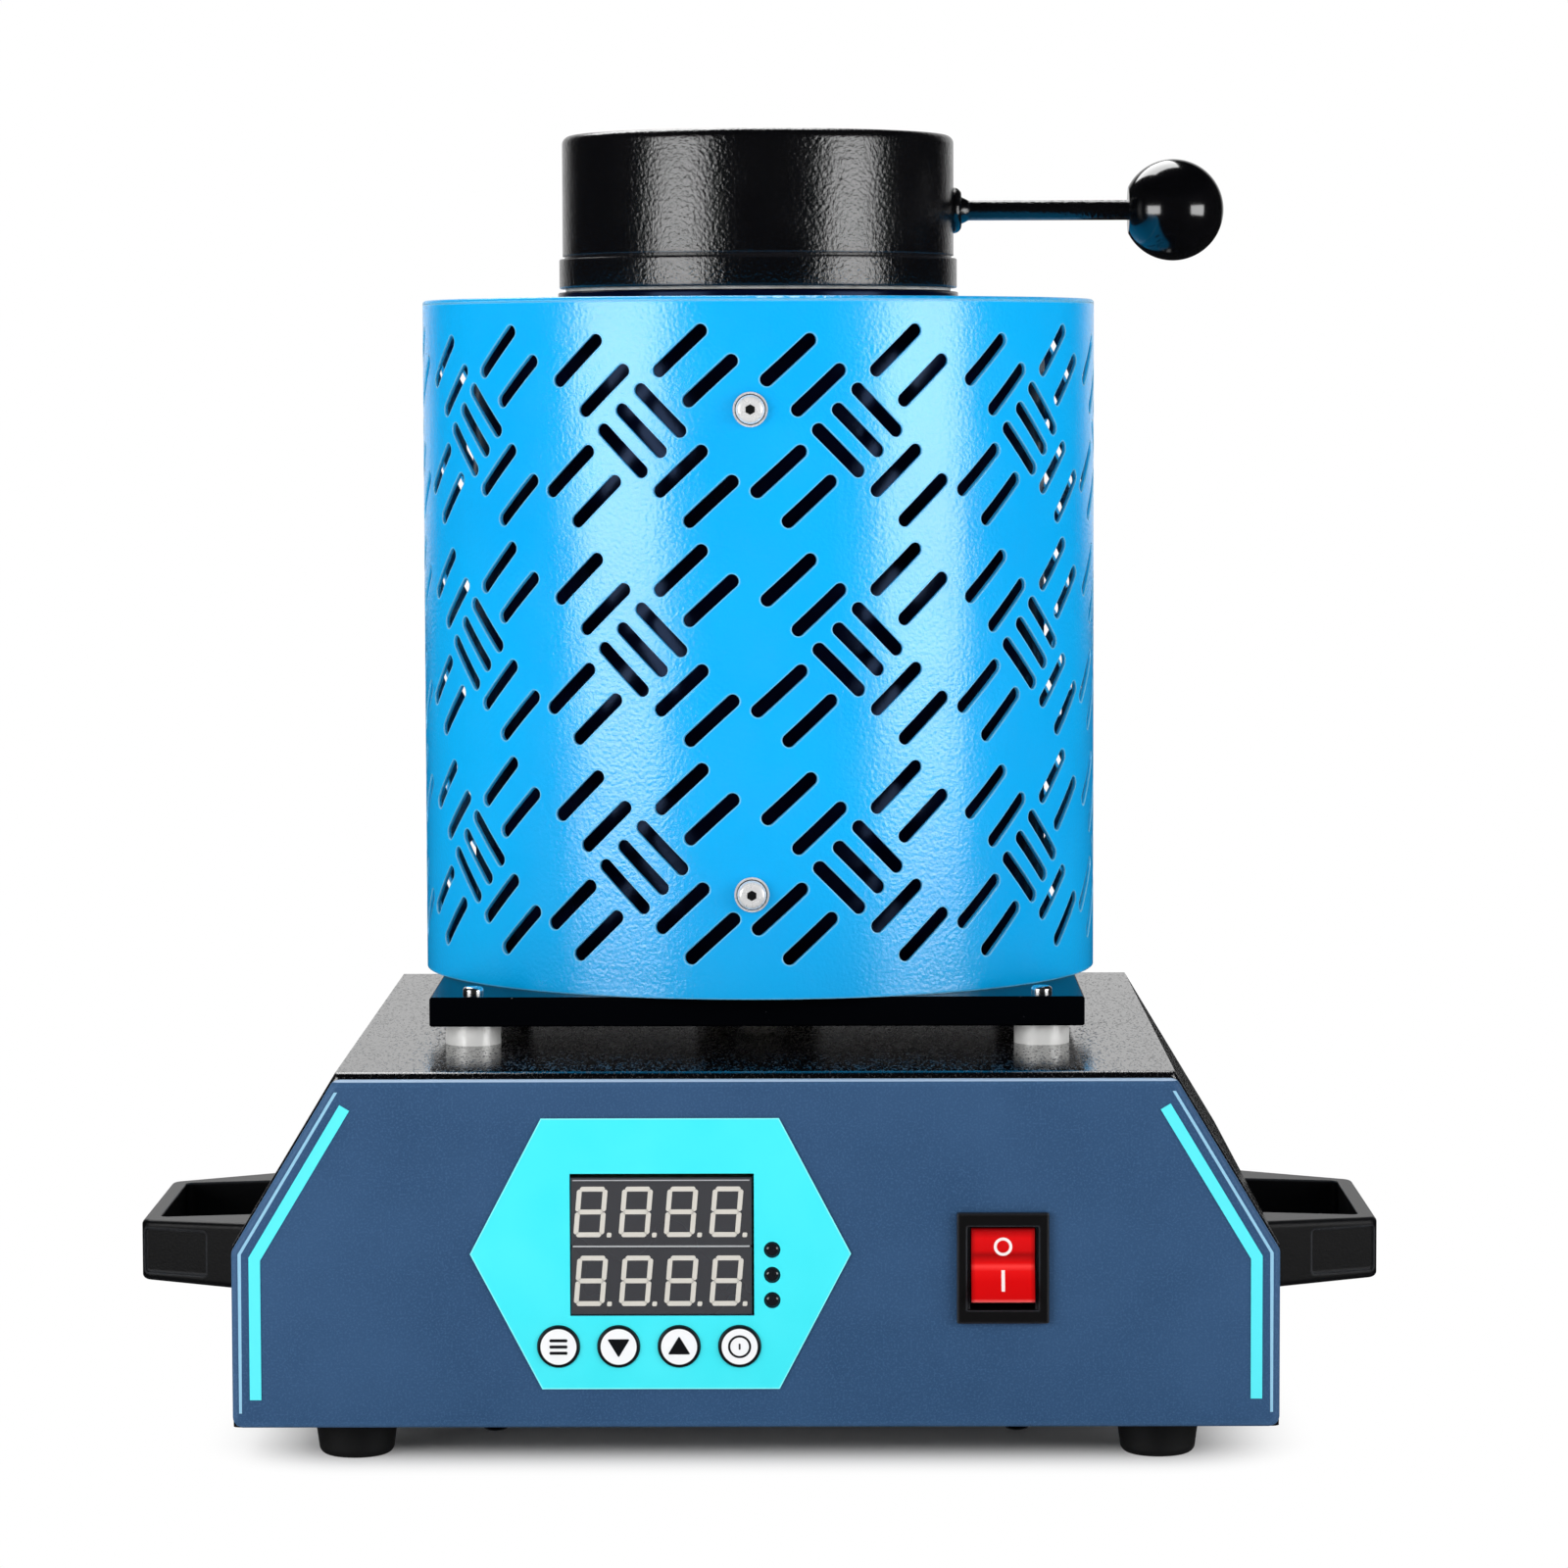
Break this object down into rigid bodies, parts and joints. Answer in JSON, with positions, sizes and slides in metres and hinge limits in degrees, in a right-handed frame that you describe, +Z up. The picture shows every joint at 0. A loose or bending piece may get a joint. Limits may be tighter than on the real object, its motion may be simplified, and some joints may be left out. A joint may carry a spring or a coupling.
{
  "type": "electric melting furnace",
  "caption": "Small electric melting furnace: controller base with panel and rocker switch, slotted round guard over an insulated crucible chamber, and a swing-away lid with a ball knob.",
  "frame": {"origin": "on the floor under the middle of the whole outline, between the four feet", "axes": "+Z up, -Y out of the control panel, +X to the right of someone facing the panel"},
  "size_m": [0.3634, 0.2626, 0.3759],
  "materials": {
    "cover_black": "satin",
    "panel_navy": "satin",
    "sheet_steel": "satin",
    "guard_blue": "satin",
    "inner_black": "matte",
    "plate_black": "gloss",
    "handle_black": "satin",
    "foot_rubber": "matte",
    "overlay_cyan": "satin",
    "display_dark": "gloss",
    "button_white": "satin",
    "switch_black": "satin",
    "switch_red": "gloss",
    "led_lens": "gloss",
    "board_green": "satin",
    "bright_metal": "polished",
    "bare_aluminium": "satin",
    "brass_metal": "satin",
    "wire_metal": "satin",
    "relay_plastic": "satin",
    "liner_ceramic": "matte",
    "bushing_ceramic": "satin",
    "fibre_white": "matte",
    "lid_black": "satin",
    "knob_black": "gloss"
  },
  "bodies": {
    "base": {"base_cover": "cover_black", "base_tray": "sheet_steel", "front_panel": "panel_navy", "rear_panel": "cover_black", "case_screws": "bright_metal", "rear_screws": "bright_metal", "handle_left": "handle_black", "handle_right": "handle_black", "handle_screws": "bright_metal", "rubber_feet": "foot_rubber", "foot_screws": "bright_metal", "panel_overlay": "overlay_cyan", "trim_stripes": "overlay_cyan", "display_upper": "display_dark", "display_lower": "display_dark", "controller_board": "board_green", "board_spacers": "brass_metal", "tact_switches": "switch_black", "indicator_leds": "led_lens", "rocker_bezel": "switch_black", "switch_terminals": "brass_metal", "inlet_housing": "switch_black", "inlet_pins": "brass_metal", "solid_state_relay": "relay_plastic", "relay_heatsink": "bare_aluminium", "terminal_block": "bushing_ceramic", "support_plate": "plate_black", "standoffs": "bare_aluminium", "plate_screws": "bright_metal", "plate_nuts": "bright_metal", "guard_shell": "guard_blue", "guard_top": "guard_blue", "guard_screws": "bright_metal", "guard_washers": "bright_metal", "guard_standoffs": "bare_aluminium", "inner_case": "inner_black", "case_bolts": "bright_metal", "base_insulation": "fibre_white", "chamber_liner": "liner_ceramic", "heating_coil": "wire_metal", "heater_leads": "wire_metal", "lead_bushings": "bushing_ceramic", "thermocouple": "sheet_steel", "insulation_blanket": "fibre_white", "top_insulation": "fibre_white", "collar_ring": "inner_black", "hinge_post": "bright_metal", "hinge_fasteners": "bright_metal"},
    "lid": {"lid_shell": "lid_black", "lid_band": "lid_black", "lid_insulation": "fibre_white", "lid_gasket": "fibre_white", "lid_hinge_arm": "lid_black", "lid_rod": "lid_black", "ball_knob": "knob_black"},
    "rocker_switch": {"rocker": "switch_red"},
    "button_function_body": {"button_function": "button_white"},
    "button_down_body": {"button_down": "button_white"},
    "button_up_body": {"button_up": "button_white"},
    "button_power_body": {"button_power": "button_white"}
  },
  "joints": [
    {"name": "lid_swing", "type": "hinge", "parent": "base", "child": "lid", "pos_m": [0, 0.0992, 0.35], "axis": [0, 0, 1], "range_deg": [0, 105]},
    {"name": "rocker_tilt", "type": "hinge", "parent": "base", "child": "rocker_switch", "pos_m": [0.0687, -0.123, 0.05715], "axis": [1, 0, 0], "range_deg": [0, 20]},
    {"name": "button_function_press", "type": "slide", "parent": "base", "child": "button_function_body", "axis": [0, 1, 0], "range_m": [0, 0.0005], "stiffness_N_per_m": 300},
    {"name": "button_down_press", "type": "slide", "parent": "base", "child": "button_down_body", "axis": [0, 1, 0], "range_m": [0, 0.0005], "stiffness_N_per_m": 300},
    {"name": "button_up_press", "type": "slide", "parent": "base", "child": "button_up_body", "axis": [0, 1, 0], "range_m": [0, 0.0005], "stiffness_N_per_m": 300},
    {"name": "button_power_press", "type": "slide", "parent": "base", "child": "button_power_body", "axis": [0, 1, 0], "range_m": [0, 0.0005], "stiffness_N_per_m": 300}
  ]
}
